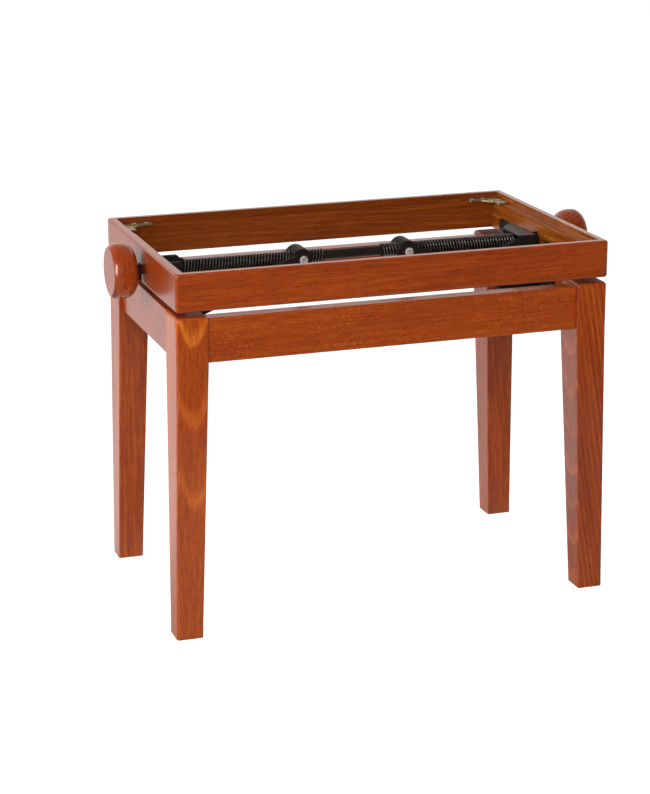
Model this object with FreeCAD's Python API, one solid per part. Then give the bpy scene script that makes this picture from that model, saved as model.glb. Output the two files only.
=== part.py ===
import FreeCAD, Part
import math
import os
from FreeCAD import Vector

# Height-adjustable piano bench: an open wooden seat frame carried on a four-legged
# frame by a screw-driven pair of folding arms at each end. Millimetres, +X to the
# sitter's right, +Y to the back, +Z up, origin on the floor under the middle.

os.makedirs("parts", exist_ok=True)

# ---- driving dimensions -------------------------------------------------------

# seat frame: four mitred rails with a rebate for the pad
SEAT_WIDTH = 556.0
SEAT_DEPTH = 348.0
SEAT_TOP = 460.0
RAIL_HEIGHT = 46.5
RAIL_THICKNESS = 21.0
LIP_WIDTH = 10.0
LEDGE_DROP = 9.0
SEAT_CORNER_RADIUS = 5.0
SEAT_EDGE_RADIUS = 3.0
MITRE_OVERREACH = 20.0

# leg frame
LEG_FRAME_WIDTH = 556.0
LEG_FRAME_DEPTH = 344.0
LEG_TOP = 407.0
LEG_WIDTH = 39.5
LEG_DEPTH = 52.0
FOOT_WIDTH = 33.0
FOOT_DEPTH = 33.0
FOOT_SPLAY = 7.0
FOOT_SETBACK = 3.0
TAPER_START = 347.0
LEG_CORNER_RADIUS = 4.0
LEG_EDGE_RADIUS = 2.0
LEG_TOP_RADIUS = 4.5
APRON_HEIGHT = 55.0
APRON_TOP = 402.5
APRON_THICKNESS = 20.0
FRONT_APRON_SETBACK = 8.0
SIDE_APRON_SETBACK = 5.0
APRON_EDGE_RADIUS = 1.2

# folding arms: one long arm and one half-length arm at each end
PIVOT_X = 230.0
NUT_X = 71.0
SPINDLE_Z = 429.0
LOW_PIVOT_Z = 368.0
ARM_HALF_WIDTH = 9.0
ARM_SHEET = 2.5
PIN_RADIUS = 4.0
RUNNING_CLEARANCE = 0.05
NUT_SCREW_CLEARANCE = 0.08
LONG_ARM_INNER = 17.5
SHORT_ARM_INNER = 20.6
ARM_WEB_THICKNESS = 2.5
LONG_WEB_START = 30.0
LONG_WEB_END_GAP = 32.0
SHORT_WEB_FROM_MIDDLE = 36.0
SHORT_WEB_END_GAP = 16.0

# sheet-metal brackets: the upper pair stands on the seat rails, the lower on the aprons
BRACKET_SHEET = 3.0
BRACKET_TIP_X = 220.0
FLANGE_CORNER_RADIUS = 5.0
CHEEK_CORNER_RADIUS = 7.0
UPPER_FLANGE_HALF_LENGTH = 119.0
UPPER_FLANGE_BOTTOM = 416.0
UPPER_FLANGE_TOP = 432.5
UPPER_NOTCH_HALF_LENGTH = 33.0
UPPER_STRIP_TOP = 424.0
UPPER_CHEEK_INNER = 24.0
UPPER_CHEEK_ROOT_X = 243.0
SHELF_UNDERSIDE = 438.4
SHELF_SHEET = 2.0
SHELF_BACK_REACH = 46.0
SHELF_BACK_WIDTH = 7.0
SHELF_SLOT = (228.0, -14.0)
SHELF_SLOT_LENGTH = 7.0
SHELF_SLOT_WIDTH = 1.8
LOWER_CHEEK_INNER = 20.6
LOWER_FLANGE_HALF_LENGTH = 72.0
LOWER_FLANGE_BOTTOM = 353.0
LOWER_FLANGE_TOP = 386.0
LOWER_CHEEK_TOP = 380.0
LOWER_WEB_HALF_LENGTH = 41.0

# spindle, sleeves, bushes and knobs
SHAFT_RADIUS = 6.2
SHAFT_HALF_LENGTH = 307.0
THREAD_START = 40.0
THREAD_END = 224.0
THREAD_RADIUS = 9.0
THREAD_ROOT_RADIUS = 7.3
THREAD_PITCH = 4.0
THREAD_LAND_SHARE = 0.2
COLLAR_RADIUS = 8.4
COLLAR_START = 243.5
COLLAR_END = 251.6
BUSH_RADIUS = 8.6
BUSH_START = 252.0
BUSH_END = 266.0
SLOT_RADIUS = 9.0
KNOB_RADIUS = 34.5
KNOB_FACE_RADIUS = 30.0
KNOB_BACK_RADIUS = 21.0
KNOB_INNER = 285.0
KNOB_WIDEST = 303.0
KNOB_OUTER = 317.0
KNOB_RIM_RADIUS = 1.5
KNOB_BORE_DEPTH = 24.0

# nuts that ride on the sleeves
NUT_RADIUS = 13.5
NUT_HALF_LENGTH = 17.0
NUT_BORE_RADIUS = 9.3
NUT_EDGE_RADIUS = 1.0
SHOULDER_RADIUS = 4.0
SHOULDER_START = 15.0
SCREW_TIP = 10.5
SCREW_CORE_RADIUS = 3.0
NUT_SCREW_HEAD_RADIUS = 5.4
NUT_SCREW_HEAD_HEIGHT = 2.6
NUT_SCREW_DOME_SHARE = 0.45
NUT_SCREW_CROSS_SHARE = 0.55
WASHER_GAP = 0.3
RIVET_HEAD_RADIUS = 6.0
RIVET_HEAD_HEIGHT = 1.8

# plates that carry the pad, one in each back corner
PLATE_THICKNESS = 2.0
PLATE_ARM = 45.0
PLATE_WIDTH = 16.0
PLATE_FIT_GAP = 0.5
PLATE_GUSSET = 12.0
PLATE_TIP_RADIUS = 3.0
PLATE_SCREW_FAR = 38.0
PLATE_SCREW_NEAR = 22.0
PLATE_SCREW_INSET = 5.5
PAD_HOLE_INSET = 19.5
PAD_HOLE_RADIUS = 2.5
WOOD_SCREW_RADIUS = 1.75
WOOD_SCREW_HEAD_RADIUS = 3.4
WOOD_SCREW_LENGTH = 14.0
CROSS_HALF_SHARE = 0.6
CROSS_ARM_SHARE = 0.28
CROSS_DEPTH = 0.72

# bracket screws
BRACKET_SCREW_RADIUS = 2.2
BRACKET_SCREW_HEAD_RADIUS = 4.2
BRACKET_SCREW_HEAD_HEIGHT = 2.4
BRACKET_SCREW_DOME_SHARE = 1.35
BRACKET_SCREW_LENGTH = 15.0
UPPER_SCREW_Y = (48.0, 110.0)
UPPER_SCREW_Z = 425.0
LOWER_SCREW_Y = 56.0
LOWER_SCREW_Z = (361.0, 378.0)
DRIVER_SLOT_WIDTH = 1.2
DRIVER_SLOT_DEPTH = 1.2

# corner blocks and leg bolts
BLOCK_BOTTOM = 358.0
BLOCK_HEIGHT = 26.0
BLOCK_REACH = 45.0
BOLT_RADIUS = 3.0
BOLT_IN_LEG = 24.0
BOLT_OUT_OF_NUT = 4.0
BOLT_NUT_FLATS = 10.0
BOLT_NUT_HEIGHT = 5.0
BOLT_WASHER_RADIUS = 7.0
BOLT_WASHER_THICKNESS = 1.5

# ---- worked-out values --------------------------------------------------------

half_width = SEAT_WIDTH / 2
half_depth = SEAT_DEPTH / 2
rail_bottom = SEAT_TOP - RAIL_HEIGHT
ledge_z = SEAT_TOP - LEDGE_DROP
rail_inner_x = half_width - RAIL_THICKNESS
leg_outer_x = LEG_FRAME_WIDTH / 2
leg_outer_y = LEG_FRAME_DEPTH / 2
leg_inner_x = leg_outer_x - LEG_WIDTH
leg_inner_y = leg_outer_y - LEG_DEPTH
apron_bottom = APRON_TOP - APRON_HEIGHT
side_apron_inner_x = leg_outer_x - SIDE_APRON_SETBACK - APRON_THICKNESS
front_apron_inner_y = leg_outer_y - FRONT_APRON_SETBACK - APRON_THICKNESS
arm_run = PIVOT_X - NUT_X
arm_drop = SPINDLE_Z - LOW_PIVOT_Z
arm_length = math.hypot(arm_run, arm_drop)
middle_x = (PIVOT_X + NUT_X) / 2
middle_z = (SPINDLE_Z + LOW_PIVOT_Z) / 2
long_arm_outer = LONG_ARM_INNER + ARM_SHEET
short_arm_outer = SHORT_ARM_INNER + ARM_SHEET
upper_cheek_outer = UPPER_CHEEK_INNER + BRACKET_SHEET
lower_cheek_outer = LOWER_CHEEK_INNER + BRACKET_SHEET
upper_flange_inner_x = rail_inner_x - BRACKET_SHEET
lower_flange_inner_x = side_apron_inner_x - BRACKET_SHEET
shelf_top = SHELF_UNDERSIDE + SHELF_SHEET
plate_top = ledge_z + PLATE_THICKNESS

X_AXIS = Vector(1, 0, 0)
Y_AXIS = Vector(0, 1, 0)
Z_AXIS = Vector(0, 0, 1)
ORIGIN = Vector(0, 0, 0)
SIDES = {"left": -1, "right": 1}
ENDS = {"front": -1, "back": 1}
BOTH_FACES = (-1, 1)
# The left short arm and its bracket have only their back plate, the right ones have two.
SHORT_ARM_FACES = {"left": (1,), "right": BOTH_FACES}
SMALL = 1e-6
SMALL_EDGE = 0.01
CLEAR = 1.0


# ---- small helpers ------------------------------------------------------------

def box(x0, x1, y0, y1, z0, z1):
    """Axis-aligned block between two opposite corners."""
    return Part.makeBox(x1 - x0, y1 - y0, z1 - z0, Vector(x0, y0, z0))


def rod_x(radius, x0, x1, y=0.0, z=SPINDLE_Z):
    """Round bar along X."""
    return Part.makeCylinder(radius, x1 - x0, Vector(x0, y, z), X_AXIS)


def rod_y(radius, y0, y1, x, z):
    """Round bar along Y."""
    return Part.makeCylinder(radius, y1 - y0, Vector(x, y0, z), Y_AXIS)


def prism_z(points, z0, z1):
    """Upright prism on a closed outline in plan."""
    outline = [Vector(x, y, z0) for x, y in points]
    face = Part.Face(Part.makePolygon(outline + [outline[0]]))
    return face.extrude(Vector(0, 0, z1 - z0))


def turned_x(points_wire):
    """Solid of revolution about the spindle axis from a closed half profile."""
    face = Part.Face(points_wire)
    return face.revolve(Vector(0, 0, SPINDLE_Z), X_AXIS, 360)


def mirrored(shape, plane_normal):
    """Mirror image through the middle of the bench."""
    return shape.mirror(ORIGIN, plane_normal)


def to_side(shape, side):
    """A right-hand piece moved to the side asked for."""
    return shape if SIDES[side] > 0 else mirrored(shape, X_AXIS)


def to_corner(shape, side, end):
    """A back right piece moved to the corner asked for."""
    turned = shape if ENDS[end] > 0 else mirrored(shape, Y_AXIS)
    return to_side(turned, side)


def is_vertical(edge):
    """True for a straight edge parallel to Z."""
    if edge.Curve.TypeId != "Part::GeomLine":
        return False
    direction = edge.tangentAt(edge.FirstParameter)
    return abs(abs(direction.z) - 1) < 1e-6


def edges_where(shape, test):
    """The edges whose middle point passes a test."""
    return [edge for edge in shape.Edges if test(edge, edge.CenterOfMass)]


def saved(name, *solids):
    """Write one node: a single solid, or a group of separate ones."""
    shape = solids[0] if len(solids) == 1 else Part.makeCompound(list(solids))
    shape.exportStep("parts/" + name + ".step")
    return shape


# ---- fasteners ----------------------------------------------------------------

def countersunk_screw(x, y):
    """Wood screw pointing down, head flush with the top of a corner plate."""
    head_depth = WOOD_SCREW_HEAD_RADIUS - WOOD_SCREW_RADIUS
    head = Part.makeCone(WOOD_SCREW_RADIUS, WOOD_SCREW_HEAD_RADIUS, head_depth,
                         Vector(x, y, plate_top - head_depth))
    shank = Part.makeCylinder(WOOD_SCREW_RADIUS, WOOD_SCREW_LENGTH,
                              Vector(x, y, plate_top - head_depth - WOOD_SCREW_LENGTH))
    return head.fuse(shank).removeSplitter()


def cross_recess(x, y, face_z, half):
    """Two crossed slots sunk into a countersunk head."""
    arm = half * CROSS_ARM_SHARE
    floor_z = face_z - CROSS_DEPTH
    first = box(x - half, x + half, y - arm, y + arm, floor_z, face_z + CLEAR)
    second = box(x - arm, x + arm, y - half, y + half, floor_z, face_z + CLEAR)
    return first.fuse(second)


def bracket_screw(face_x, y, z):
    """Slotted dome-head screw driven along +X into wood, its head on face_x."""
    head_x = face_x - BRACKET_SCREW_HEAD_HEIGHT
    dome_radius = BRACKET_SCREW_HEAD_RADIUS * BRACKET_SCREW_DOME_SHARE
    dome = Part.makeSphere(dome_radius)
    dome.translate(Vector(head_x + dome_radius, y, z))
    head = rod_x(BRACKET_SCREW_HEAD_RADIUS, head_x, face_x, y, z).common(dome)
    slot = box(head_x - CLEAR, head_x + DRIVER_SLOT_DEPTH,
               y - DRIVER_SLOT_WIDTH / 2, y + DRIVER_SLOT_WIDTH / 2,
               z - BRACKET_SCREW_HEAD_RADIUS, z + BRACKET_SCREW_HEAD_RADIUS)
    shank = rod_x(BRACKET_SCREW_RADIUS, face_x, face_x + BRACKET_SCREW_LENGTH, y, z)
    return head.cut(slot).fuse(shank).removeSplitter()


# ---- seat frame ---------------------------------------------------------------

def seat_rails():
    """One rebated ring, rounded outside, parted at the mitres into four rails."""
    ring = box(-half_width, half_width, -half_depth, half_depth, rail_bottom, SEAT_TOP)
    ring = ring.makeFillet(SEAT_CORNER_RADIUS, [e for e in ring.Edges if is_vertical(e)])
    rims = edges_where(ring, lambda e, c: abs(c.z - SEAT_TOP) < SMALL or abs(c.z - rail_bottom) < SMALL)
    ring = ring.makeFillet(SEAT_EDGE_RADIUS, rims)
    inside_y = half_depth - RAIL_THICKNESS
    ring = ring.cut(box(-rail_inner_x, rail_inner_x, -inside_y, inside_y,
                        rail_bottom - CLEAR, SEAT_TOP + CLEAR))
    lip_x = half_width - LIP_WIDTH
    lip_y = half_depth - LIP_WIDTH
    ring = ring.cut(box(-lip_x, lip_x, -lip_y, lip_y, ledge_z, SEAT_TOP + CLEAR))
    slot_end = half_width + CLEAR
    slot = rod_x(SLOT_RADIUS, -slot_end, slot_end)
    slot = slot.fuse(box(-slot_end, slot_end, -SLOT_RADIUS, SLOT_RADIUS, rail_bottom - CLEAR, SPINDLE_Z))
    ring = ring.cut(slot)
    far_x = half_width + MITRE_OVERREACH
    far_y = half_depth + MITRE_OVERREACH
    meet_x = half_width - half_depth
    wedges = {
        "front": [(-far_x, -far_y), (far_x, -far_y), (meet_x, 0), (-meet_x, 0)],
        "back": [(far_x, far_y), (-far_x, far_y), (-meet_x, 0), (meet_x, 0)],
        "left": [(-far_x, far_y), (-far_x, -far_y), (-meet_x, 0)],
        "right": [(far_x, -far_y), (far_x, far_y), (meet_x, 0)],
    }
    return {name: ring.common(prism_z(points, 0, SEAT_TOP + CLEAR)) for name, points in wedges.items()}


def plate_screw_spots():
    """Plan positions of the corner plate screws in the back right corner."""
    corner_x = half_width - LIP_WIDTH - PLATE_FIT_GAP
    corner_y = half_depth - LIP_WIDTH - PLATE_FIT_GAP
    spots = []
    for along in (PLATE_SCREW_NEAR, PLATE_SCREW_FAR):
        spots.append((corner_x - along, corner_y - PLATE_SCREW_INSET))
        spots.append((corner_x - PLATE_SCREW_INSET, corner_y - along))
    return spots


def corner_plate():
    """Flat L with a gusset for the back right corner, its pad hole clear of the ledge."""
    corner_x = half_width - LIP_WIDTH - PLATE_FIT_GAP
    corner_y = half_depth - LIP_WIDTH - PLATE_FIT_GAP
    inner_x = corner_x - PLATE_WIDTH
    inner_y = corner_y - PLATE_WIDTH
    outline = [
        (corner_x, corner_y), (corner_x - PLATE_ARM, corner_y), (corner_x - PLATE_ARM, inner_y),
        (inner_x - PLATE_GUSSET, inner_y), (inner_x, inner_y - PLATE_GUSSET),
        (inner_x, corner_y - PLATE_ARM), (corner_x, corner_y - PLATE_ARM),
    ]
    plate = prism_z(outline, ledge_z, plate_top)
    tips = edges_where(plate, lambda e, c: is_vertical(e) and (
        c.x < corner_x - PLATE_ARM + CLEAR or c.y < corner_y - PLATE_ARM + CLEAR))
    plate = plate.makeFillet(PLATE_TIP_RADIUS, tips)
    hole_foot = Vector(corner_x - PAD_HOLE_INSET, corner_y - PAD_HOLE_INSET, ledge_z - CLEAR)
    hole = Part.makeCylinder(PAD_HOLE_RADIUS, PLATE_THICKNESS + 2 * CLEAR, hole_foot)
    return plate.cut(hole)


# ---- leg frame ----------------------------------------------------------------

def leg_section(width, depth, z, splay=0.0, setback=0.0):
    """Rounded outline of the back right leg at one height."""
    right = leg_outer_x + splay
    back = leg_outer_y - setback
    left = right - width
    front = back - depth
    rounds = [(right, back, LEG_CORNER_RADIUS, -1, -1), (left, back, LEG_EDGE_RADIUS, 1, -1),
              (left, front, LEG_EDGE_RADIUS, 1, 1), (right, front, LEG_EDGE_RADIUS, -1, 1)]
    arcs = []
    for index, (x, y, radius, into_x, into_y) in enumerate(rounds):
        on_x_side = Vector(x, y + into_y * radius, z)
        on_y_side = Vector(x + into_x * radius, y, z)
        bulge = radius * (1 - math.sqrt(0.5))
        middle = Vector(x + into_x * bulge, y + into_y * bulge, z)
        first, last = (on_x_side, on_y_side) if index % 2 == 0 else (on_y_side, on_x_side)
        arcs.append((first, middle, last))
    edges = []
    for index, (first, middle, last) in enumerate(arcs):
        edges.append(Part.Arc(first, middle, last).toShape())
        edges.append(Part.makeLine(last, arcs[(index + 1) % len(arcs)][0]))
    return Part.Wire(edges)


def leg():
    """Back right leg: straight by the aprons, below them tapered and leaning a little to its side."""
    foot = leg_section(FOOT_WIDTH, FOOT_DEPTH, 0, FOOT_SPLAY, FOOT_SETBACK)
    knee, top = (leg_section(LEG_WIDTH, LEG_DEPTH, z) for z in (TAPER_START, LEG_TOP))
    post = Part.makeLoft([foot, knee, top], True, True)
    rim = edges_where(post, lambda e, c: abs(c.z - LEG_TOP) < SMALL)
    return post.makeFillet(LEG_TOP_RADIUS, rim)


def apron(x0, x1, y0, y1):
    """Plain board between two legs with its long edges eased."""
    board = box(x0, x1, y0, y1, apron_bottom, APRON_TOP)
    along_x = (x1 - x0) > (y1 - y0)
    long_side = (x1 - x0) if along_x else (y1 - y0)
    eased = [edge for edge in board.Edges if abs(edge.Length - long_side) < SMALL]
    return board.makeFillet(APRON_EDGE_RADIUS, eased)


def corner_block():
    """Glue block that hugs the back right leg between two aprons."""
    face_x = leg_inner_x - BLOCK_REACH
    sum_on_face = face_x + front_apron_inner_y
    outline = [
        (face_x, front_apron_inner_y), (leg_inner_x, front_apron_inner_y), (leg_inner_x, leg_inner_y),
        (side_apron_inner_x, leg_inner_y), (side_apron_inner_x, sum_on_face - side_apron_inner_x),
    ]
    return prism_z(outline, BLOCK_BOTTOM, BLOCK_BOTTOM + BLOCK_HEIGHT)


def leg_bolt_pieces():
    """Bolt, washer and nut along the diagonal of the back right corner."""
    face_sum = leg_inner_x - BLOCK_REACH + front_apron_inner_y
    shift = (leg_inner_x + leg_inner_y - face_sum) / 2
    height = BLOCK_BOTTOM + BLOCK_HEIGHT / 2
    face_point = Vector(leg_inner_x - shift, leg_inner_y - shift, height)
    outward = Vector(1, 1, 0).normalize()
    block_depth = shift * math.sqrt(2)
    washer_start = face_point - outward * BOLT_WASHER_THICKNESS
    nut_start = washer_start - outward * BOLT_NUT_HEIGHT
    bolt_start = nut_start - outward * BOLT_OUT_OF_NUT
    bolt_length = (BOLT_OUT_OF_NUT + BOLT_NUT_HEIGHT + BOLT_WASHER_THICKNESS + block_depth + BOLT_IN_LEG)
    bolt = Part.makeCylinder(BOLT_RADIUS, bolt_length, bolt_start, outward)
    washer = Part.makeCylinder(BOLT_WASHER_RADIUS, BOLT_WASHER_THICKNESS, washer_start, outward).cut(bolt)
    corner_radius = BOLT_NUT_FLATS / math.sqrt(3)
    across = Vector(-1, 1, 0).normalize()
    corners = []
    for step in range(7):
        turn = math.radians(60 * step)
        corners.append(nut_start + across * (corner_radius * math.cos(turn))
                       + Z_AXIS * (corner_radius * math.sin(turn)))
    nut = Part.Face(Part.makePolygon(corners)).extrude(outward * BOLT_NUT_HEIGHT).cut(bolt)
    return bolt, washer, nut


# ---- brackets -----------------------------------------------------------------

def across_sheet(edge, thickness=BRACKET_SHEET):
    """True for an edge as long as the sheet is thick."""
    return abs(edge.Length - thickness) < SMALL


def flange(x0, y_half, z0, z1):
    """Upright plate against the wood with rounded ends."""
    plate = box(x0, x0 + BRACKET_SHEET, -y_half, y_half, z0, z1)
    ends = edges_where(plate, lambda e, c: abs(abs(c.y) - y_half) < SMALL and across_sheet(e))
    return plate.makeFillet(FLANGE_CORNER_RADIUS, ends)


def cheek_plates(inner_y, root_x, z0, z1, rounded_z, faces=BOTH_FACES):
    """Upright plates across the spindle, the corners of their free end rounded at the heights given."""
    cheeks = []
    for sign in faces:
        near = min(sign * inner_y, sign * (inner_y + BRACKET_SHEET))
        cheek = box(BRACKET_TIP_X, root_x, near, near + BRACKET_SHEET, z0, z1)
        free = edges_where(cheek, lambda e, c: abs(c.x - BRACKET_TIP_X) < SMALL and across_sheet(e)
                           and min(abs(c.z - z) for z in rounded_z) < SMALL)
        cheeks.append(cheek.makeFillet(CHEEK_CORNER_RADIUS, free))
    return cheeks


def shelf():
    """Plate across the tops of the right upper cheeks, drawn out to the back along the rail."""
    front_y = -upper_cheek_outer
    outline = [
        (BRACKET_TIP_X, front_y), (UPPER_CHEEK_ROOT_X, front_y), (UPPER_CHEEK_ROOT_X, SHELF_BACK_REACH),
        (UPPER_CHEEK_ROOT_X - SHELF_BACK_WIDTH, SHELF_BACK_REACH), (BRACKET_TIP_X, upper_cheek_outer),
    ]
    plate = prism_z(outline, SHELF_UNDERSIDE, shelf_top)
    x, y = SHELF_SLOT
    slot = box(x - SHELF_SLOT_WIDTH / 2, x + SHELF_SLOT_WIDTH / 2, y - SHELF_SLOT_LENGTH / 2,
               y + SHELF_SLOT_LENGTH / 2, SHELF_UNDERSIDE - CLEAR, shelf_top + CLEAR)
    return plate.cut(slot)


def seat_bracket(faces):
    """Upper bracket drawn on the right: a flange cut down in the middle, and a cheek on each face asked for.

    A shelf joins the cheeks where there are two.
    """
    with_shelf = len(faces) == len(BOTH_FACES)
    plate = flange(upper_flange_inner_x, UPPER_FLANGE_HALF_LENGTH, UPPER_FLANGE_BOTTOM, UPPER_FLANGE_TOP)
    plate = plate.cut(box(upper_flange_inner_x - CLEAR, rail_inner_x + CLEAR, -UPPER_NOTCH_HALF_LENGTH,
                          UPPER_NOTCH_HALF_LENGTH, UPPER_STRIP_TOP, UPPER_FLANGE_TOP + CLEAR))
    rounded = [UPPER_FLANGE_BOTTOM] if with_shelf else [UPPER_FLANGE_BOTTOM, SHELF_UNDERSIDE]
    pieces = cheek_plates(UPPER_CHEEK_INNER, UPPER_CHEEK_ROOT_X, UPPER_FLANGE_BOTTOM, SHELF_UNDERSIDE,
                          rounded, faces)
    for sign in faces:
        near = min(sign * UPPER_CHEEK_INNER, sign * upper_cheek_outer)
        pieces.append(box(UPPER_CHEEK_ROOT_X, rail_inner_x, near, near + BRACKET_SHEET,
                          UPPER_FLANGE_BOTTOM, UPPER_STRIP_TOP))
    if with_shelf:
        pieces.append(shelf())
    body = plate.fuse(pieces).removeSplitter()
    body = body.cut(rod_x(BUSH_RADIUS, upper_flange_inner_x - CLEAR, rail_inner_x + CLEAR))
    pivot_reach = upper_cheek_outer + CLEAR
    return body.cut(rod_y(PIN_RADIUS, -pivot_reach, pivot_reach, PIVOT_X, SPINDLE_Z))


def leg_bracket():
    """Right lower bracket: flange on the side apron and an upturned channel for the low pivot."""
    web_top = LOWER_FLANGE_BOTTOM + BRACKET_SHEET
    plate = flange(lower_flange_inner_x, LOWER_FLANGE_HALF_LENGTH, LOWER_FLANGE_BOTTOM, LOWER_FLANGE_TOP)
    web = box(BRACKET_TIP_X, side_apron_inner_x, -LOWER_WEB_HALF_LENGTH, LOWER_WEB_HALF_LENGTH,
              LOWER_FLANGE_BOTTOM, web_top)
    bends = edges_where(web, lambda e, c: is_vertical(e) and c.x < BRACKET_TIP_X + CLEAR)
    web = web.makeFillet(CHEEK_CORNER_RADIUS, bends)
    cheeks = cheek_plates(LOWER_CHEEK_INNER, side_apron_inner_x, web_top, LOWER_CHEEK_TOP, [LOWER_CHEEK_TOP])
    body = plate.fuse([web] + cheeks).removeSplitter()
    pivot_reach = lower_cheek_outer + CLEAR
    return body.cut(rod_y(PIN_RADIUS, -pivot_reach, pivot_reach, PIVOT_X, LOW_PIVOT_Z))


def seat_bracket_screw_set():
    """Four screws through the right upper bracket into the seat rail."""
    screws = []
    for y in UPPER_SCREW_Y:
        for sign in (-1, 1):
            screws.append(bracket_screw(upper_flange_inner_x, sign * y, UPPER_SCREW_Z))
    return screws


def leg_bracket_screw_set():
    """Four screws through the right lower bracket into the side apron."""
    screws = []
    for y in (-LOWER_SCREW_Y, LOWER_SCREW_Y):
        for z in LOWER_SCREW_Z:
            screws.append(bracket_screw(lower_flange_inner_x, y, z))
    return screws


# ---- folding arms -------------------------------------------------------------

def link(start, end, inner_y, web_from, web_to, holes, faces=BOTH_FACES):
    """Channel arm: two round-ended side plates joined by a web along the underside.

    start and end are the (x, z) pivots; the web runs between two distances from start.
    An arm with one face is a flat bar without a web.
    """
    length = math.hypot(end[0] - start[0], end[1] - start[1])
    pitch = math.degrees(math.atan2(end[1] - start[1], end[0] - start[0]))
    under = -1 if abs(pitch) < 90 else 1
    outer_y = inner_y + ARM_SHEET
    plates = []
    for sign in faces:
        near = min(sign * inner_y, sign * outer_y)
        side = box(0, length, near, near + ARM_SHEET, -ARM_HALF_WIDTH, ARM_HALF_WIDTH)
        side = side.fuse([rod_y(ARM_HALF_WIDTH, near, near + ARM_SHEET, 0, 0),
                          rod_y(ARM_HALF_WIDTH, near, near + ARM_SHEET, length, 0)])
        plates.append(side.removeSplitter())
    body = plates[0]
    if len(plates) > 1:
        low, high = sorted((under * ARM_HALF_WIDTH, under * (ARM_HALF_WIDTH - ARM_WEB_THICKNESS)))
        web = box(web_from, web_to, -outer_y, outer_y, low, high)
        body = body.fuse(plates[1:] + [web]).removeSplitter()
    for along, radius in holes:
        body = body.cut(rod_y(radius, -outer_y - CLEAR, outer_y + CLEAR, along, 0))
    body.rotate(ORIGIN, Y_AXIS, -pitch)
    body.translate(Vector(start[0], 0, start[1]))
    return body


def long_arm():
    """Right long arm, from the travelling nut down to the leg bracket."""
    holes = [(0, SHOULDER_RADIUS + NUT_SCREW_CLEARANCE), (arm_length / 2, PIN_RADIUS),
             (arm_length, PIN_RADIUS + RUNNING_CLEARANCE)]
    return link((NUT_X, SPINDLE_Z), (PIVOT_X, LOW_PIVOT_Z), LONG_ARM_INNER,
                LONG_WEB_START, arm_length - LONG_WEB_END_GAP, holes)


def short_arm(faces):
    """Short arm drawn on the right, from the middle of the long arm up to the seat bracket."""
    reach = arm_length / 2
    holes = [(0, PIN_RADIUS + RUNNING_CLEARANCE), (reach, PIN_RADIUS + RUNNING_CLEARANCE)]
    return link((middle_x, middle_z), (PIVOT_X, SPINDLE_Z), SHORT_ARM_INNER,
                SHORT_WEB_FROM_MIDDLE, reach - SHORT_WEB_END_GAP, holes, faces)


def through_pin(x, z, inner_head_y):
    """Riveted pin right across, with a flat head beyond each side."""
    pin = rod_y(PIN_RADIUS, -inner_head_y, inner_head_y, x, z)
    heads = [rod_y(RIVET_HEAD_RADIUS, inner_head_y, inner_head_y + RIVET_HEAD_HEIGHT, x, z),
             rod_y(RIVET_HEAD_RADIUS, -inner_head_y - RIVET_HEAD_HEIGHT, -inner_head_y, x, z)]
    return pin.fuse(heads).removeSplitter()


def upper_rivets(faces):
    """Stub rivets of a seat bracket, drawn on the right; they stop short of the spindle."""
    stubs = []
    inside = SHORT_ARM_INNER - WASHER_GAP
    for sign in faces:
        spans = [(PIN_RADIUS, inside, upper_cheek_outer),
                 (RIVET_HEAD_RADIUS, inside - RIVET_HEAD_HEIGHT, inside),
                 (RIVET_HEAD_RADIUS, upper_cheek_outer, upper_cheek_outer + RIVET_HEAD_HEIGHT)]
        pieces = []
        for radius, near, far in spans:
            low, high = sorted((sign * near, sign * far))
            pieces.append(rod_y(radius, low, high, PIVOT_X, SPINDLE_Z))
        stubs.append(pieces[0].fuse(pieces[1:]).removeSplitter())
    return stubs


# ---- nuts ---------------------------------------------------------------------

def nut_block():
    """Right barrel nut, across the spindle, bored for the sleeve."""
    barrel = rod_y(NUT_RADIUS, -NUT_HALF_LENGTH, NUT_HALF_LENGTH, NUT_X, SPINDLE_Z)
    barrel = barrel.makeChamfer(NUT_EDGE_RADIUS, edges_where(
        barrel, lambda e, c: abs(abs(c.y) - NUT_HALF_LENGTH) < SMALL))
    return barrel.cut(rod_x(NUT_BORE_RADIUS, NUT_X - 2 * NUT_RADIUS, NUT_X + 2 * NUT_RADIUS))


def y_span(radius, near, far, sign):
    """Round bar along Y at the right nut, from one distance off the middle to another."""
    low, high = sorted((sign * near, sign * far))
    return rod_y(radius, low, high, NUT_X, SPINDLE_Z)


def nut_screw(sign):
    """Shoulder screw with a cross-recessed head, in one end of the right nut."""
    head_start = long_arm_outer + WASHER_GAP
    head_end = head_start + NUT_SCREW_HEAD_HEIGHT
    core = y_span(SCREW_CORE_RADIUS, SCREW_TIP, SHOULDER_START, sign)
    shoulder = y_span(SHOULDER_RADIUS, SHOULDER_START, head_start, sign)
    head = y_span(NUT_SCREW_HEAD_RADIUS, head_start, head_end, sign)
    rim = edges_where(head, lambda e, c: abs(abs(c.y) - head_end) < SMALL)
    head = head.makeFillet(NUT_SCREW_HEAD_HEIGHT * NUT_SCREW_DOME_SHARE, rim)
    low, high = sorted((sign * (head_end - DRIVER_SLOT_DEPTH), sign * (head_end + CLEAR)))
    half = NUT_SCREW_HEAD_RADIUS * NUT_SCREW_CROSS_SHARE
    arm = DRIVER_SLOT_WIDTH / 2
    recess = box(NUT_X - half, NUT_X + half, low, high, SPINDLE_Z - arm, SPINDLE_Z + arm)
    recess = recess.fuse(box(NUT_X - arm, NUT_X + arm, low, high, SPINDLE_Z - half, SPINDLE_Z + half))
    return head.cut(recess).fuse([core, shoulder]).removeSplitter()


# ---- spindle ------------------------------------------------------------------

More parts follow.
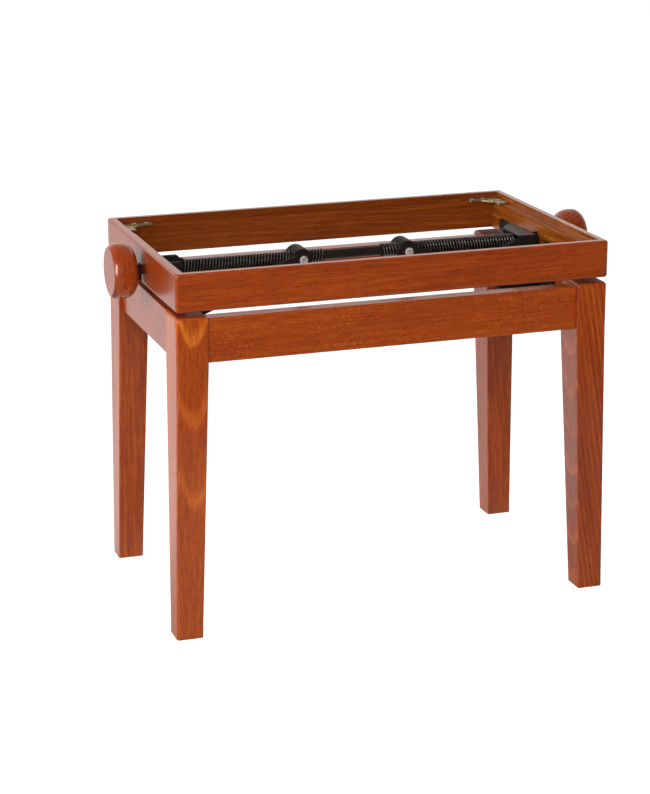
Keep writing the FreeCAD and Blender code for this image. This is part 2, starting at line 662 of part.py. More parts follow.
def thread_sleeve():
    """Right coarse-threaded sleeve: rounded ridges at the pitch of the thread."""
    count = int((THREAD_END - THREAD_START) / THREAD_PITCH)
    land = THREAD_PITCH * THREAD_LAND_SHARE
    flank = (THREAD_PITCH - 2 * land) / 2
    start = THREAD_START + (THREAD_END - THREAD_START - count * THREAD_PITCH) / 2
    outline = [(THREAD_START, SHAFT_RADIUS), (THREAD_START, THREAD_ROOT_RADIUS)]
    for index in range(count):
        x = start + index * THREAD_PITCH + land / 2
        outline.append((x, THREAD_ROOT_RADIUS))
        outline.append((x + flank, THREAD_RADIUS))
        outline.append((x + flank + land, THREAD_RADIUS))
        outline.append((x + 2 * flank + land, THREAD_ROOT_RADIUS))
    outline.append((THREAD_END, THREAD_ROOT_RADIUS))
    outline.append((THREAD_END, SHAFT_RADIUS))
    points = [Vector(x, 0, SPINDLE_Z + r) for x, r in outline]
    return turned_x(Part.makePolygon(points + [points[0]]))


def tube_x(inner, outer, x0, x1):
    """Plain ring along the spindle."""
    return rod_x(outer, x0, x1).cut(rod_x(inner, x0 - CLEAR, x1 + CLEAR))


def bush():
    """Right plastic bush: a sleeve for the shaft through the bracket into the rail's slot."""
    return tube_x(SHAFT_RADIUS + RUNNING_CLEARANCE, BUSH_RADIUS, BUSH_START, BUSH_END)


def off_axis(x, radius):
    """Point above the spindle axis."""
    return Vector(x, 0, SPINDLE_Z + radius)


def knob_quarter(centre_r, end_x):
    """Three points from the widest part of the knob round to one of its ends."""
    points = []
    for angle in (0, 45, 90):
        turn = math.radians(angle)
        points.append(off_axis(KNOB_WIDEST + (end_x - KNOB_WIDEST) * math.sin(turn),
                               centre_r + (KNOB_RADIUS - centre_r) * math.cos(turn)))
    return points


def knob():
    """Right hand knob: a flattened ball with a flat face, bored for the shaft."""
    inner = knob_quarter(KNOB_BACK_RADIUS, KNOB_INNER)
    outer = knob_quarter(KNOB_FACE_RADIUS, KNOB_OUTER)
    edges = [
        Part.makeLine(off_axis(KNOB_INNER, 0), inner[2]),
        Part.Arc(inner[2], inner[1], inner[0]).toShape(),
        Part.Arc(outer[0], outer[1], outer[2]).toShape(),
        Part.makeLine(outer[2], off_axis(KNOB_OUTER, 0)),
        Part.makeLine(off_axis(KNOB_OUTER, 0), off_axis(KNOB_INNER, 0)),
    ]
    body = turned_x(Part.Wire(edges))
    rim = edges_where(body, lambda e, c: e.Closed and e.BoundBox.XLength < SMALL_EDGE
                      and abs(e.BoundBox.XMin - KNOB_OUTER) < SMALL_EDGE)
    body = body.makeFillet(KNOB_RIM_RADIUS, rim)
    return body.cut(rod_x(SHAFT_RADIUS, KNOB_INNER - CLEAR, KNOB_INNER + KNOB_BORE_DEPTH))


# ---- build --------------------------------------------------------------------

plate_screws = []
cross_recesses = []
cross_half = WOOD_SCREW_HEAD_RADIUS * CROSS_HALF_SHARE
for x_sign in (-1, 1):
    for x, y in plate_screw_spots():
        plate_screws.append(countersunk_screw(x_sign * x, y))
        cross_recesses.append(cross_recess(x_sign * x, y, plate_top, cross_half))
plate_screw_cutter = Part.makeCompound(plate_screws)

right_seat_screws = seat_bracket_screw_set()
right_leg_screws = leg_bracket_screw_set()
seat_screws = right_seat_screws + [mirrored(screw, X_AXIS) for screw in right_seat_screws]
leg_screws = right_leg_screws + [mirrored(screw, X_AXIS) for screw in right_leg_screws]

rails = seat_rails()
for name, rail in rails.items():
    if name != "front":
        rail = rail.cut(plate_screw_cutter)
    if name in SIDES:
        rail = rail.cut(Part.makeCompound(seat_screws))
    saved("seat_rail_" + name, rail)

plate = corner_plate()
for side in SIDES:
    saved("corner_plate_" + side, to_side(plate, side).cut(plate_screw_cutter))
saved("corner_plate_screws", *[screw.cut(cross) for screw, cross in zip(plate_screws, cross_recesses)])

bolt, washer, bolt_nut = leg_bolt_pieces()
post = leg().cut(bolt)
block = corner_block().cut(bolt)
bolts = []
washers = []
bolt_nuts = []
for end in ENDS:
    for side in SIDES:
        saved("leg_" + end + "_" + side, to_corner(post, side, end))
        saved("corner_block_" + end + "_" + side, to_corner(block, side, end))
        bolts.append(to_corner(bolt, side, end))
        washers.append(to_corner(washer, side, end))
        bolt_nuts.append(to_corner(bolt_nut, side, end))
saved("leg_bolts", *bolts)
saved("leg_bolt_washers", *washers)
saved("leg_bolt_nuts", *bolt_nuts)

back_board = apron(-leg_inner_x, leg_inner_x, front_apron_inner_y, front_apron_inner_y + APRON_THICKNESS)
saved("apron_back", back_board)
saved("apron_front", mirrored(back_board, Y_AXIS))
side_board = apron(side_apron_inner_x, side_apron_inner_x + APRON_THICKNESS, -leg_inner_y, leg_inner_y)
side_board = side_board.cut(Part.makeCompound(right_leg_screws))
for side in SIDES:
    saved("apron_" + side, to_side(side_board, side))

seat_screw_cutter = Part.makeCompound(right_seat_screws)
lower = leg_bracket().cut(Part.makeCompound(right_leg_screws))
low_pin = through_pin(PIVOT_X, LOW_PIVOT_Z, lower_cheek_outer)
middle_pin = through_pin(middle_x, middle_z, short_arm_outer + WASHER_GAP)
screws_in_nut = [nut_screw(sign) for sign in BOTH_FACES]
drilled_nut = nut_block().cut(Part.makeCompound(screws_in_nut))
collar = tube_x(SHAFT_RADIUS, COLLAR_RADIUS, COLLAR_START, COLLAR_END)
rivets = []
for side in SIDES:
    faces = SHORT_ARM_FACES[side]
    upper = seat_bracket(faces).cut(seat_screw_cutter)
    rivets.extend(to_side(rivet, side) for rivet in upper_rivets(faces))
    saved("seat_bracket_" + side, to_side(upper, side))
    saved("leg_bracket_" + side, to_side(lower, side))
    saved("long_arm_" + side, to_side(long_arm(), side))
    saved("short_arm_" + side, to_side(short_arm(faces), side))
    saved("low_pin_" + side, to_side(low_pin, side))
    saved("middle_pin_" + side, to_side(middle_pin, side))
    saved("nut_" + side, to_side(drilled_nut, side))
    saved("nut_screws_" + side, *[to_side(screw, side) for screw in screws_in_nut])
    saved("spindle_bush_" + side, to_side(bush(), side))
    saved("spindle_collar_" + side, to_side(collar, side))
    saved("thread_sleeve_" + side, to_side(thread_sleeve(), side))
    saved("knob_" + side, to_side(knob(), side))
saved("upper_rivets", *rivets)
saved("seat_bracket_screws", *seat_screws)
saved("leg_bracket_screws", *leg_screws)
saved("spindle_shaft", rod_x(SHAFT_RADIUS, -SHAFT_HALF_LENGTH, SHAFT_HALF_LENGTH))
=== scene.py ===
import math

import bmesh
import bpy
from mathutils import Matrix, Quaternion, Vector


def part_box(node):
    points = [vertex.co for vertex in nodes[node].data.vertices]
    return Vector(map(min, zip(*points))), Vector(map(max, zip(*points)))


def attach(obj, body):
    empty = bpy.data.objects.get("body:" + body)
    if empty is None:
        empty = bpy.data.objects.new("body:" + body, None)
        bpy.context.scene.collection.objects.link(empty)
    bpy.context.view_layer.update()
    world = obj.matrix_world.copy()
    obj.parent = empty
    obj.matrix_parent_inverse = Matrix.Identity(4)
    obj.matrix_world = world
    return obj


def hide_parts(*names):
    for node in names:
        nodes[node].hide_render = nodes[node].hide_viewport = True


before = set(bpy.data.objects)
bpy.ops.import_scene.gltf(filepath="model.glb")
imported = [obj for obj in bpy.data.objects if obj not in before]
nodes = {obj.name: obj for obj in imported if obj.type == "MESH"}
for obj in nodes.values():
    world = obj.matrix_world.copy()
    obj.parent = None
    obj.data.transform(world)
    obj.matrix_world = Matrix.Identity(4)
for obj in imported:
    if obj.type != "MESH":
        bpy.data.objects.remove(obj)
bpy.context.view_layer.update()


# ---- measures of the object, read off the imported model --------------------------

def middle(name):
    """Centre of a CAD node's box."""
    low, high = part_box(name)
    return (low + high) / 2


spindle_z = middle("spindle_shaft").z


# ---- node trees -----------------------------------------------------------------

class Tree:
    """A node tree, built with one call per node."""

    def __init__(self, tree):
        self.tree = tree
        tree.nodes.clear()

    def feed(self, socket, value):
        """Link a socket, or set its value."""
        if isinstance(value, bpy.types.NodeSocket):
            self.tree.links.new(value, socket)
        elif value is not None:
            socket.default_value = value

    def add(self, kind, inputs=None, **settings):
        """A node with its settings made and its inputs fed."""
        node = self.tree.nodes.new(kind)
        for key, value in settings.items():
            setattr(node, key, value)
        for key, value in (inputs or {}).items():
            self.feed(node.inputs[key], value)
        return node

    def sums(self, operation, first, second=None, third=None):
        """Arithmetic on one, two or three numbers."""
        node = self.add("ShaderNodeMath", operation=operation)
        for socket, value in zip(node.inputs, (first, second, third)):
            self.feed(socket, value)
        return node.outputs[0]

    def for_lens(self):
        """1 where the camera looks straight at a thing, 0 where it only lights or is mirrored."""
        return self.add("ShaderNodeLightPath").outputs["Is Camera Ray"]


class Graph(Tree):
    """A material's node tree around one principled shader."""

    def __init__(self, name):
        self.material = bpy.data.materials.new(name)
        self.material.use_nodes = True
        super().__init__(self.material.node_tree)
        self.shader = self.add("ShaderNodeBsdfPrincipled")
        self.add("ShaderNodeOutputMaterial", {"Surface": self.shader.outputs[0]})

    def vector(self, operation, first, second=None):
        """Arithmetic on vectors, giving a number for a length or a dot product."""
        node = self.add("ShaderNodeVectorMath", operation=operation)
        self.feed(node.inputs[0], first)
        self.feed(node.inputs[1], second)
        return node.outputs["Value"] if operation in ("LENGTH", "DOT_PRODUCT") else node.outputs[0]

    def object_point(self):
        """The piece's own coordinates, in metres."""
        return self.add("ShaderNodeTexCoord").outputs["Object"]

    def noise(self, point, scale, detail=2.0, rough=0.5):
        """Noise value, 0 to 1; scale is one number or three, per metre."""
        if not isinstance(scale, (int, float)):
            point = self.vector("MULTIPLY", point, scale)
            scale = 1.0
        inputs = {"Vector": point, "Scale": scale, "Detail": detail, "Roughness": rough}
        return self.add("ShaderNodeTexNoise", inputs).outputs["Fac"]

    def centred(self, value, gain):
        """gain x (value - 0.5)."""
        return self.sums("MULTIPLY", self.sums("SUBTRACT", value, 0.5), gain)

    def step(self, value, low, high):
        """0 below low, 1 above high, smooth between."""
        node = self.add("ShaderNodeMapRange", {"Value": value, "From Min": low, "From Max": high},
                        interpolation_type="SMOOTHSTEP")
        return node.outputs["Result"]

    def ramp(self, value, stops, mode="LINEAR"):
        """Colour at a value, from (place, colour) stops."""
        node = self.add("ShaderNodeValToRGB", {"Fac": value})
        node.color_ramp.interpolation = mode
        marks = node.color_ramp.elements
        while len(marks) > 1:
            marks.remove(marks[-1])
        for index, (place, colour) in enumerate(stops):
            mark = marks[0] if index == 0 else marks.new(place)
            mark.position = place
            mark.color = (*colour, 1.0)
        return node.outputs["Color"]

    def mix(self, share, first, second):
        """From the first colour to the second as share goes from 0 to 1."""
        node = self.add("ShaderNodeMix", data_type="RGBA")
        self.feed(node.inputs["Factor"], share)
        self.feed(node.inputs[6], first)
        self.feed(node.inputs[7], second)
        return node.outputs[2]

    def edges(self, radius, low, high):
        """1 along edges, 0 on the flats."""
        soft = self.add("ShaderNodeBevel", {"Radius": radius}, samples=4).outputs[0]
        true = self.add("ShaderNodeNewGeometry").outputs["Normal"]
        return self.step(self.sums("SUBTRACT", 1.0, self.vector("DOT_PRODUCT", soft, true)), low, high)

    def bump(self, height, strength, distance):
        """Fine relief, given as a height from 0 to 1 and its real depth in metres."""
        node = self.add("ShaderNodeBump", {"Height": height, "Strength": strength, "Distance": distance})
        self.feed(self.shader.inputs["Normal"], node.outputs[0])

    def surface(self, **values):
        """Feed the shader's sockets, named with underscores for spaces."""
        for key, value in values.items():
            self.feed(self.shader.inputs[key.replace("_", " ")], value)


# ---- finishes -------------------------------------------------------------------

# Linear colours of the stain from the darkest pore to the palest ray.
STAIN = [
    (0.00, (0.095, 0.013, 0.003)),
    (0.30, (0.190, 0.027, 0.004)),
    (0.50, (0.290, 0.046, 0.006)),
    (0.70, (0.420, 0.086, 0.009)),
    (1.00, (0.700, 0.200, 0.024)),
]
BROWN_STAIN = [(place, (red * 0.62, green * 0.80, blue * 0.8)) for place, (red, green, blue) in STAIN]

# Noise scales of the wood per metre: along the grain, then across it.
SLOW_WANDER = (2.6, 9.0, 9.0)
QUICK_WANDER = (7.0, 70.0, 70.0)
BLOTCH = (3.2, 16.0, 16.0)
STREAK = (7.0, 260.0, 260.0)
FIBRE = (42.0, 640.0, 640.0)
DASH = (150.0, 700.0, 700.0)
RAY = (1000.0, 1000.0, 170.0)
RAY_CLUSTER = (9.0, 30.0, 30.0)
SHEEN = (12.0, 90.0, 90.0)

# Places along the stain: the middle of a plain board, and how far dark marks move it.
MEAN_VALUE = 0.47
DASH_DEPTH = 0.35
# End grain darkens partly because stain soaks into it, partly as painted shade on the leg tops under the
# seat rails.
END_GRAIN_AND_SHADE_DEPTH = 0.34

# Bevel radii in metres, which find the edges of wood, made paler partly as wear and partly as a painted
# highlight, and the worn edges of paint.
WOOD_EDGE = 0.0016
PAINT_EDGE = 0.0012

LACQUER_IOR = 1.38
LACQUER_ROUGHNESS = 0.20

# Brightness over one year's ring, before and after the place where its pale line begins.
EARLY_WOOD = [(0.0, 0.25), (0.08, 0.0)]
LATE_WOOD = [(0.88, 0.95), (0.95, 1.0), (1.0, 0.25)]
LATE_START_LEVEL = 0.12


def board_point(g, along, pith):
    """Coordinates with X along the grain and the tree's axis at Y = Z = 0."""
    turn = Vector(along).normalized().rotation_difference(Vector((1, 0, 0))).to_matrix()
    return g.add("ShaderNodeMapping", {
        "Vector": g.object_point(),
        "Rotation": turn.to_euler("XYZ"),
        "Location": -(turn @ Vector(pith)),
    }).outputs[0]


def ring_lines(g, point, gap, bend, wobble, late, zone):
    """Pale lines of the year's rings, 0 to 1, some years stronger than others."""
    radius = g.vector("LENGTH", g.vector("MULTIPLY", point, (0.0, 1.0, 1.0)))
    for scale, reach in ((SLOW_WANDER, bend), (QUICK_WANDER, wobble)):
        radius = g.sums("ADD", radius, g.centred(g.noise(point, scale), reach * 2))
    count = g.sums("DIVIDE", radius, gap)
    ring = g.sums("FLOOR", count)
    phase = g.sums("SUBTRACT", count, ring)
    levels = EARLY_WOOD + [(late, LATE_START_LEVEL)] + LATE_WOOD
    line = g.ramp(phase, [(place, (level,) * 3) for place, level in levels], "EASE")
    year = g.add("ShaderNodeTexWhiteNoise", {"W": ring}, noise_dimensions="1D").outputs["Value"]
    line = g.sums("MULTIPLY", line, g.sums("MULTIPLY_ADD", year, 0.6, 0.4))
    if zone:
        line = g.sums("MULTIPLY", line, g.sums("SUBTRACT", 1.0, g.step(radius, *zone)))
    return line


def ray_flecks(g, point):
    """Short upright flecks of a quarter-sawn face, in loose clusters."""
    fleck = g.step(g.noise(point, RAY, detail=1.0), 0.60, 0.70)
    cluster = g.step(g.noise(point, RAY_CLUSTER, detail=2.0), 0.25, 0.75)
    return g.sums("MULTIPLY", fleck, cluster)


def end_grain_share(g, along):
    """1 on faces across the grain, 0 on faces along it."""
    normal = g.add("ShaderNodeTexCoord").outputs["Normal"]
    facing = g.vector("DOT_PRODUCT", normal, Vector(along).normalized())
    return g.step(g.sums("ABSOLUTE", facing), 0.80, 0.97)


def wood(name, along, pith, tone=0.0, gap=0.006, rings=0.14, late=0.55, bend=0.014, wobble=0.0022, zone=None,
         streaks=0.5, fibres=0.40, dashes=0.35, rays=0.0, blotches=0.30, worn_and_highlit_edges=0.08, stain=STAIN):
    """Stained and lacquered beech.

    along is the direction of the grain and pith a point on the tree's axis. In metres, gap is
    the width of a year's ring, bend and wobble how far the rings stray over long and short
    stretches, and zone the two radii between which they fade out. late is the share of a ring
    at which its pale line begins. The other numbers say how far each feature moves the colour
    along the stain.
    """
    g = Graph(name)
    point = board_point(g, along, pith)
    streak = g.noise(point, STREAK, detail=4.0, rough=0.6)
    fibre = g.noise(point, FIBRE, detail=2.0)
    grain = g.sums("ADD", g.centred(streak, streaks), g.centred(fibre, fibres))
    dash = g.step(g.noise(point, DASH, detail=1.0), 0.58, 0.70)
    end_grain = end_grain_share(g, along)

    value = g.sums("ADD", MEAN_VALUE + tone, g.centred(g.noise(point, BLOTCH, detail=3.0), blotches))
    value = g.sums("ADD", value, grain)
    value = g.sums("MULTIPLY_ADD", ring_lines(g, point, gap, bend, wobble, late, zone), rings, value)
    value = g.sums("MULTIPLY_ADD", dash, -dashes * DASH_DEPTH, value)
    if rays:
        value = g.sums("MULTIPLY_ADD", ray_flecks(g, point), rays, value)
    # Paler edges: partly thinner stain where worn, partly a painted highlight of the lacquer's rounded
    # edges.
    if worn_and_highlit_edges:
        value = g.sums("MULTIPLY_ADD", g.edges(WOOD_EDGE, 0.01, 0.22), worn_and_highlit_edges, value)
    # Darker end grain: partly real stain uptake, partly painted shade on the leg tops in the gap beneath the
    # seat rails.
    value = g.sums("MULTIPLY_ADD", end_grain, -END_GRAIN_AND_SHADE_DEPTH, value)

    roughness = g.sums("ADD", LACQUER_ROUGHNESS, g.centred(g.noise(point, SHEEN, detail=2.0), 0.10))
    g.bump(grain, 0.01, 0.0003)
    g.surface(
        Base_Color=g.ramp(value, stain),
        Roughness=g.sums("MULTIPLY_ADD", end_grain, 0.3, roughness),
        IOR=LACQUER_IOR,
        Specular_IOR_Level=g.sums("MULTIPLY_ADD", end_grain, -0.35, 0.5),
    )
    return g.material


def black_paint(name, shade=0.011, rough=0.36, grain=900.0, wear=0.22, shine=0.14, ior=1.42):
    """Black coating with a fine skin and slightly rubbed edges."""
    g = Graph(name)
    point = g.object_point()
    skin = g.noise(point, grain, detail=2.0)
    patch = g.noise(point, 60.0, detail=3.0)
    chips = g.step(g.noise(point, 190.0, detail=3.0), 0.48, 0.66)
    crest_highlight = g.sums("MULTIPLY", g.edges(PAINT_EDGE, 0.02, 0.3), chips)
    dark = (shade * 0.9, shade * 0.7, shade * 0.6, 1)
    light = (shade * 1.7, shade * 1.35, shade * 1.2, 1)
    coat = g.mix(patch, dark, light)
    g.bump(skin, 0.10, 0.0002)
    g.surface(
        Base_Color=g.mix(g.sums("MULTIPLY", crest_highlight, wear), coat, (0.20, 0.18, 0.165, 1)),
        Roughness=g.sums("ADD", rough, g.centred(patch, 0.16)),
        IOR=ior,
        Specular_IOR_Level=shine,
        Specular_Tint=(1.0, 0.82, 0.72, 1),
    )
    return g.material


# Radii about the spindle between which the thread's plastic turns from plain black to the painted highlight
# of the crests.
CREST_LIGHT_START = 0.0080
CREST_LIGHT_FULL = 0.0090


def thread_with_lit_crests(name):
    """Black plastic between the ridges, with a painted highlight in grey along their crests, in patches."""
    g = Graph(name)
    point = g.object_point()
    from_axis = g.vector("MULTIPLY", g.vector("SUBTRACT", point, (0.0, 0.0, spindle_z)), (0.0, 1.0, 1.0))
    crest = g.step(g.vector("LENGTH", from_axis), CREST_LIGHT_START, CREST_LIGHT_FULL)
    patch = g.step(g.noise(point, (70.0, 500.0, 500.0), detail=2.0), 0.15, 0.75)
    # Painted highlight: the crests are coloured pale grey to stand for the light the ridges catch.
    crest_highlight = g.sums("MULTIPLY", crest, patch)
    g.surface(
        Base_Color=g.mix(crest_highlight, (0.006, 0.005, 0.004, 1), (0.085, 0.070, 0.062, 1)),
        Roughness=0.2,
        IOR=1.5,
        Specular_IOR_Level=g.sums("MULTIPLY_ADD", crest, 0.5, 0.05),
    )
    return g.material


def plated(name, pale, deep, rough=0.30, scale=260.0, metal=0.9):
    """Plated metal with a faint cloud in the plating."""
    g = Graph(name)
    point = g.object_point()
    cloud = g.noise(point, scale, detail=3.0)
    g.bump(g.noise(point, scale * 7, detail=1.0), 0.10, 0.0001)
    g.surface(
        Base_Color=g.mix(g.step(cloud, 0.32, 0.68), (*deep, 1), (*pale, 1)),
        Metallic=metal,
        Roughness=g.sums("ADD", rough, g.centred(cloud, 0.25)),
    )
    return g.material


def raw_wood(name):
    """Roughly stained beech of the hidden corner blocks."""
    g = Graph(name)
    point = g.object_point()
    streak = g.noise(point, (260.0, 260.0, 14.0), detail=3.0)
    fleck = g.step(g.noise(point, (900.0, 900.0, 160.0), detail=1.0), 0.6, 0.72)
    value = g.sums("MULTIPLY_ADD", fleck, -0.3, streak)
    stops = [(0.2, (0.10, 0.030, 0.012)), (0.5, (0.17, 0.055, 0.020)), (0.8, (0.25, 0.09, 0.03))]
    g.bump(streak, 0.25, 0.0003)
    g.surface(Base_Color=g.ramp(value, stops), Roughness=0.62)
    return g.material


# Each board: grain direction, a point on its pith, and what differs from the plain recipe.
BOARDS = {
    "seat_rail_front": ((1, 0.004, 0.012), (0.0, -0.10, 0.30), dict(
        tone=-0.045, rings=0.05, streaks=0.42)),
    "seat_rail_back": ((1, 0.02, -0.01), (0.1, 0.21, 0.36), dict(
        tone=-0.03, rings=0.12, streaks=0.55, stain=BROWN_STAIN)),
    "seat_rail_left": ((0.01, 1, 0.01), (-0.36, 0.0, 0.36), dict(
        tone=-0.10, rings=0.06, streaks=0.18, fibres=0.22, dashes=0.12)),
    "seat_rail_right": ((0.03, 1, 0.02), (0.31, 0.0, 0.40), dict(
        tone=0.10, rings=0.22, streaks=0.7, stain=BROWN_STAIN)),
    "apron_front": ((1, 0.0, 0.02), (0.0, -0.30, 0.36), dict(
        tone=0.03, rings=0.05, streaks=0.36, rays=0.40)),
    "apron_back": ((1, 0.01, 0.01), (0.0, 0.26, 0.42), dict(rings=0.10)),
    "apron_left": ((0.0, 1, 0.02), (-0.36, 0.0, 0.30), dict(
        tone=-0.04, rings=0.06, streaks=0.18, fibres=0.22, dashes=0.12)),
    "apron_right": ((0.01, 1, -0.01), (0.30, 0.0, 0.45), dict(rings=0.12)),
    "leg_front_left": ((0.004, -0.069, 1), (-0.2575, -0.0976, 0.3685), dict(
        tone=0.06, gap=0.0062, rings=0.42, late=0.70, bend=0.0008, wobble=0.0005, zone=(0.0845, 0.0875),
        streaks=0.30)),
    "leg_front_right": ((-0.17, 0.0, 1), (0.330, -0.15, 0.2), dict(
        tone=-0.05, gap=0.0065, rings=0.22, bend=0.006, wobble=0.001)),
    "leg_back_left": ((0.012, 0.0, 1), (-0.36, 0.20, 0.2), dict(tone=0.02, rings=0.10, streaks=0.6)),
    "leg_back_right": ((0.01, 0.01, 1), (0.20, 0.22, 0.2), dict(tone=-0.03)),
    "knob_left": ((0.77, 0.20, 0.60), (-0.21, 0.0, 0.31), dict(
        tone=-0.05, gap=0.0042, rings=0.45, bend=0.003, wobble=0.0006, zone=(0.139, 0.150),
        streaks=0.2, blotches=0.10, worn_and_highlit_edges=0.0)),
    "knob_right": ((0.35, 0.30, 0.85), (0.27, 0.02, 0.40), dict(
        tone=-0.20, gap=0.0045, rings=0.12, wobble=0.0006, streaks=0.25, blotches=0.10, worn_and_highlit_edges=0.0)),
}

# The finish of every other piece, by the material slot of its CAD node.
PLAIN_FINISH = {
    "block_wood": raw_wood("raw_beech"),
    "black_steel": black_paint("black_steel_coat"),
    "black_plastic": black_paint("black_moulding", rough=0.25, grain=1500.0, wear=0.06, shine=0.05,
                                 ior=1.22),
    "zinc_plate": plated("yellow_zinc", (0.42, 0.33, 0.18), (0.24, 0.17, 0.08), rough=0.42),
    "zinc_screw": plated("bright_zinc", (0.72, 0.70, 0.66), (0.40, 0.38, 0.36), rough=0.26, scale=400.0,
                         metal=0.45),
}
thread_plastic = thread_with_lit_crests("black_thread")

for node_name, node in nodes.items():
    if node_name in BOARDS:
        along, pith, extra = BOARDS[node_name]
        finish = wood("stain_" + node_name, along, pith, **extra)
    else:
        finish = PLAIN_FINISH[node.data.materials[0].name.split(".")[0]]
    for material_slot in node.material_slots:
        material_slot.material = finish


# ---- screw sleeves: two-start threads, one hand each side -------------------------

# In metres: the spacing of the ridges, and the radius at their root.
RIDGE_PITCH = 0.004
THREAD_ROOT = 0.0073
STARTS = 2
TURN_STEPS = 40
# Turns built past the low and the high end, so that both ends cut through whole ridges.
TURNS_BEFORE = 2
TURNS_AFTER = 1
MERGE_DISTANCE = 1e-6
SHARP_ANGLE = math.radians(50)
# One ridge: share of the pitch, and share of the height from the root to the crest.
RIDGE = [(0.0, 0.0), (0.10, 0.0), (0.22, 0.35), (0.34, 0.92), (0.42, 1.0), (0.55, 1.0), (0.63, 0.92),
         (0.75, 0.35), (0.87, 0.0)]


def ridge_profile(crest):
    """Offsets along the sleeve and radii, over the ridges of all the starts."""
    return [((start + share) * RIDGE_PITCH, THREAD_ROOT + rise * (crest - THREAD_ROOT))
            for start in range(STARTS) for share, rise in RIDGE]


def helix_columns(mesh, profile, low_x, high_x, hand):
    """Copies of the profile turned about the spindle and moved along it, cut off at the sleeve's ends."""
    lead = RIDGE_PITCH * STARTS
    turns = TURNS_BEFORE + int((high_x - low_x) / lead) + TURNS_AFTER
    columns = []
    for k in range(turns * TURN_STEPS + 1):
        angle = 2 * math.pi * k / TURN_STEPS
        base = low_x - TURNS_BEFORE * lead + lead * k / TURN_STEPS
        column = []
        for offset, radius in profile:
            x = min(max(base + offset, low_x), high_x)
            y = radius * math.cos(angle)
            z = spindle_z + hand * radius * math.sin(angle)
            column.append(mesh.verts.new((x, y, z)))
        columns.append(column)
    return columns


def join_columns(mesh, columns, hand):
    """Faces between neighbouring columns, each turn's end joined to the start of the next."""
    for k in range(len(columns) - 1):
        here, there = columns[k], columns[k + 1]
        for j in range(len(here)):
            if j + 1 < len(here):
                ring = (here[j], here[j + 1], there[j + 1], there[j])
            elif k + TURN_STEPS + 1 < len(columns):
                ring = (here[j], columns[k + TURN_STEPS][0], columns[k + TURN_STEPS + 1][0], there[j])
            else:
                continue
            mesh.faces.new(ring if hand > 0 else ring[::-1])


def close_ends(mesh, low_x, high_x):
    """Drop the faces squeezed flat at the ends and cap the tube."""
    outside = [face for face in mesh.faces
               if all(v.co.x <= low_x for v in face.verts) or all(v.co.x >= high_x for v in face.verts)]
    bmesh.ops.delete(mesh, geom=outside, context="FACES")
    bmesh.ops.remove_doubles(mesh, verts=mesh.verts, dist=MERGE_DISTANCE)
    bmesh.ops.dissolve_degenerate(mesh, edges=mesh.edges, dist=MERGE_DISTANCE)
    rims = [edge for edge in mesh.edges if edge.is_boundary]
    bmesh.ops.holes_fill(mesh, edges=rims, sides=0)
    bmesh.ops.triangulate(mesh, faces=[face for face in mesh.faces if len(face.verts) > 4])
    bmesh.ops.recalc_face_normals(mesh, faces=mesh.faces)


def thread(name, node_name, hand):
    """A sleeve with rounded trapezoid ridges that climb by RIDGE_PITCH x STARTS a turn."""
    low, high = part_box(node_name)
    mesh = bmesh.new()
    columns = helix_columns(mesh, ridge_profile((high.z - low.z) / 2), low.x, high.x, hand)
    join_columns(mesh, columns, hand)
    close_ends(mesh, low.x, high.x)
    data = bpy.data.meshes.new(name)
    mesh.to_mesh(data)
    mesh.free()
    piece = bpy.data.objects.new(name, data)
    bpy.context.scene.collection.objects.link(piece)
    data.materials.append(thread_plastic)
    data.shade_smooth()
    data.set_sharp_from_angle(angle=SHARP_ANGLE)
    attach(piece, "spindle")
    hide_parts(node_name)


thread("screw_thread_left", "thread_sleeve_left", -1)
thread("screw_thread_right", "thread_sleeve_right", 1)


# ---- stage, light and camera ------------------------------------------------------

FLOOR_FRONT = -0.95
FLOOR_REACH = 30.0
FLOOR_GREY = (0.48, 0.48, 0.48, 1)
FLOOR_GLOW = 0.08
EXTRA_GLOW_BEHIND = 0.58
GLOW_FOR_LENS = 0.82
CAMERA_PLACE = (-0.91270, -2.62968, 1.05706)
CAMERA_AZIMUTH = math.radians(-18.422)
CAMERA_ELEVATION = math.radians(16.420)
CAMERA_ROLL = math.radians(-0.300)
CAMERA_LENS = 101.034
SENSOR_WIDTH = 36.0
CLIP_END = 200.0


def sheet_of_floor():
    """A wide white floor that ends a little way in front of the feet.

    It glows evenly to the camera, with the bench's shadows on it. As a light and in reflections
    it is dim in front of the bench and bright behind it.
    """
    data = bpy.data.meshes.new("studio_floor")
    corners = [(-FLOOR_REACH, FLOOR_FRONT, 0), (FLOOR_REACH, FLOOR_FRONT, 0),
               (FLOOR_REACH, FLOOR_REACH, 0), (-FLOOR_REACH, FLOOR_REACH, 0)]
    data.from_pydata(corners, [], [(0, 1, 2, 3)])
    piece = bpy.data.objects.new("studio_floor", data)
    bpy.context.scene.collection.objects.link(piece)
    g = Graph("studio_floor")
    depth = g.add("ShaderNodeSeparateXYZ", {"Vector": g.object_point()}).outputs["Y"]
    backward = g.step(depth, -0.15, 0.35)
    glow = g.sums("MULTIPLY_ADD", backward, EXTRA_GLOW_BEHIND, FLOOR_GLOW)
    glow = g.sums("ADD", glow, g.sums("MULTIPLY", g.for_lens(), g.sums("SUBTRACT", GLOW_FOR_LENS, glow)))
    g.surface(Base_Color=FLOOR_GREY, Roughness=0.9, Specular_IOR_Level=0.0)
    g.surface(Emission_Color=(1, 1, 1, 1), Emission_Strength=glow)
    data.materials.append(g.material)


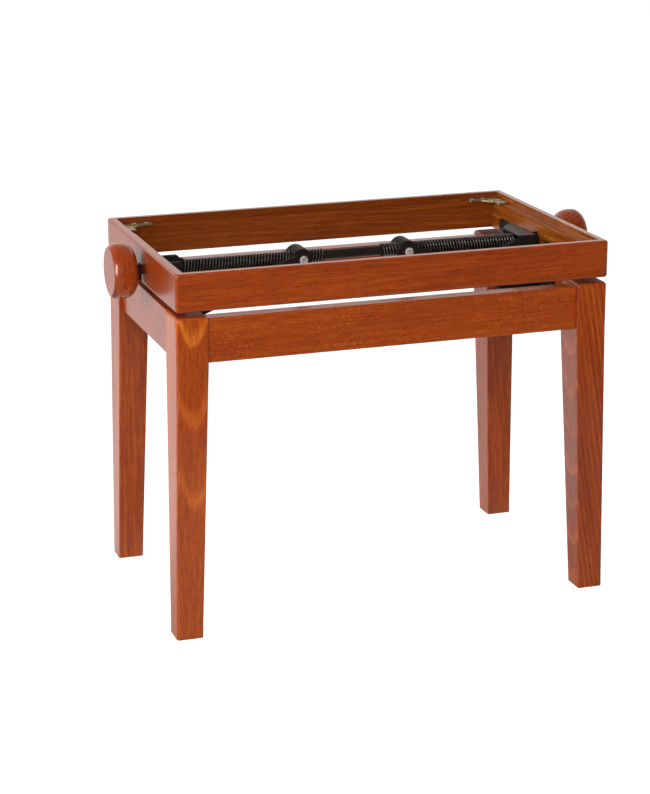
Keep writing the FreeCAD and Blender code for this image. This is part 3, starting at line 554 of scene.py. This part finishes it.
def world_light():
    """White to the camera; as a light, warm and bright behind, dim in front and overhead."""
    world = bpy.data.worlds.new("studio")
    bpy.context.scene.world = world
    world.use_nodes = True
    g = Tree(world.node_tree)
    generated = g.add("ShaderNodeTexCoord").outputs["Generated"]
    direction = g.add("ShaderNodeSeparateXYZ", {"Vector": generated}).outputs
    overhead = g.add("ShaderNodeMapRange", {
        "Value": direction["Z"], "From Min": 0.30, "From Max": 0.95, "To Min": 1.0, "To Max": 0.35})
    backward = g.add("ShaderNodeMapRange", {
        "Value": direction["Y"], "From Min": -0.5, "From Max": 0.6, "To Min": 0.12, "To Max": 1.18})
    strength = g.sums("MULTIPLY", overhead.outputs[0], backward.outputs[0])
    around = g.add("ShaderNodeBackground", {"Color": (1.0, 0.92, 0.88, 1), "Strength": strength})
    plain = g.add("ShaderNodeBackground", {"Color": (1, 1, 1, 1), "Strength": 1.0})
    chosen = g.add("ShaderNodeMixShader", {0: g.for_lens(), 1: around.outputs[0], 2: plain.outputs[0]})
    g.add("ShaderNodeOutputWorld", {"Surface": chosen.outputs[0]})


def softbox(name, place, target, width, height, power, mirrored=False):
    """Rectangular light aimed at a point: it either lights matt surfaces or, mirrored, shows in gloss."""
    lamp = bpy.data.lights.new(name, "AREA")
    lamp.shape = "RECTANGLE"
    lamp.size = width
    lamp.size_y = height
    lamp.energy = power
    lamp_object = bpy.data.objects.new(name, lamp)
    bpy.context.scene.collection.objects.link(lamp_object)
    lamp_object.location = place
    aim = Vector(target) - Vector(place)
    lamp_object.rotation_mode = "QUATERNION"
    lamp_object.rotation_quaternion = aim.to_track_quat("-Z", "Y")
    lamp_object.visible_glossy = mirrored
    lamp_object.visible_diffuse = not mirrored


def photo_camera():
    """Camera at the viewing angle of the picture."""
    camera = bpy.data.cameras.new("camera")
    camera.sensor_width = SENSOR_WIDTH
    camera.lens = CAMERA_LENS
    camera.clip_end = CLIP_END
    camera_object = bpy.data.objects.new("camera", camera)
    bpy.context.scene.collection.objects.link(camera_object)
    level = math.cos(CAMERA_ELEVATION)
    back = Vector((math.sin(CAMERA_AZIMUTH) * level, -math.cos(CAMERA_AZIMUTH) * level,
                   math.sin(CAMERA_ELEVATION)))
    upright = (-back).to_track_quat("-Z", "Y")
    camera_object.location = CAMERA_PLACE
    camera_object.rotation_mode = "QUATERNION"
    camera_object.rotation_quaternion = upright @ Quaternion((0.0, 0.0, 1.0), CAMERA_ROLL)
    bpy.context.scene.camera = camera_object


sheet_of_floor()
world_light()
softbox("key_front", (-0.95, -2.4, 1.4), (-0.05, 0.0, 0.30), 1.8, 1.5, 72.0)
softbox("strip_left", (-1.62, -0.82, 0.76), (-0.3, 0.0, 0.43), 0.50, 0.9, 34.0, mirrored=True)
softbox("side_left", (-2.4, 0.2, 1.2), (-0.2, 0.0, 0.30), 1.4, 1.2, 32.0)
softbox("fill_top", (0.3, -0.4, 2.4), (0.0, 0.0, 0.3), 1.6, 1.2, 8.0)
photo_camera()
bpy.context.scene.view_settings.view_transform = "Standard"
bpy.context.scene.view_settings.look = "None"
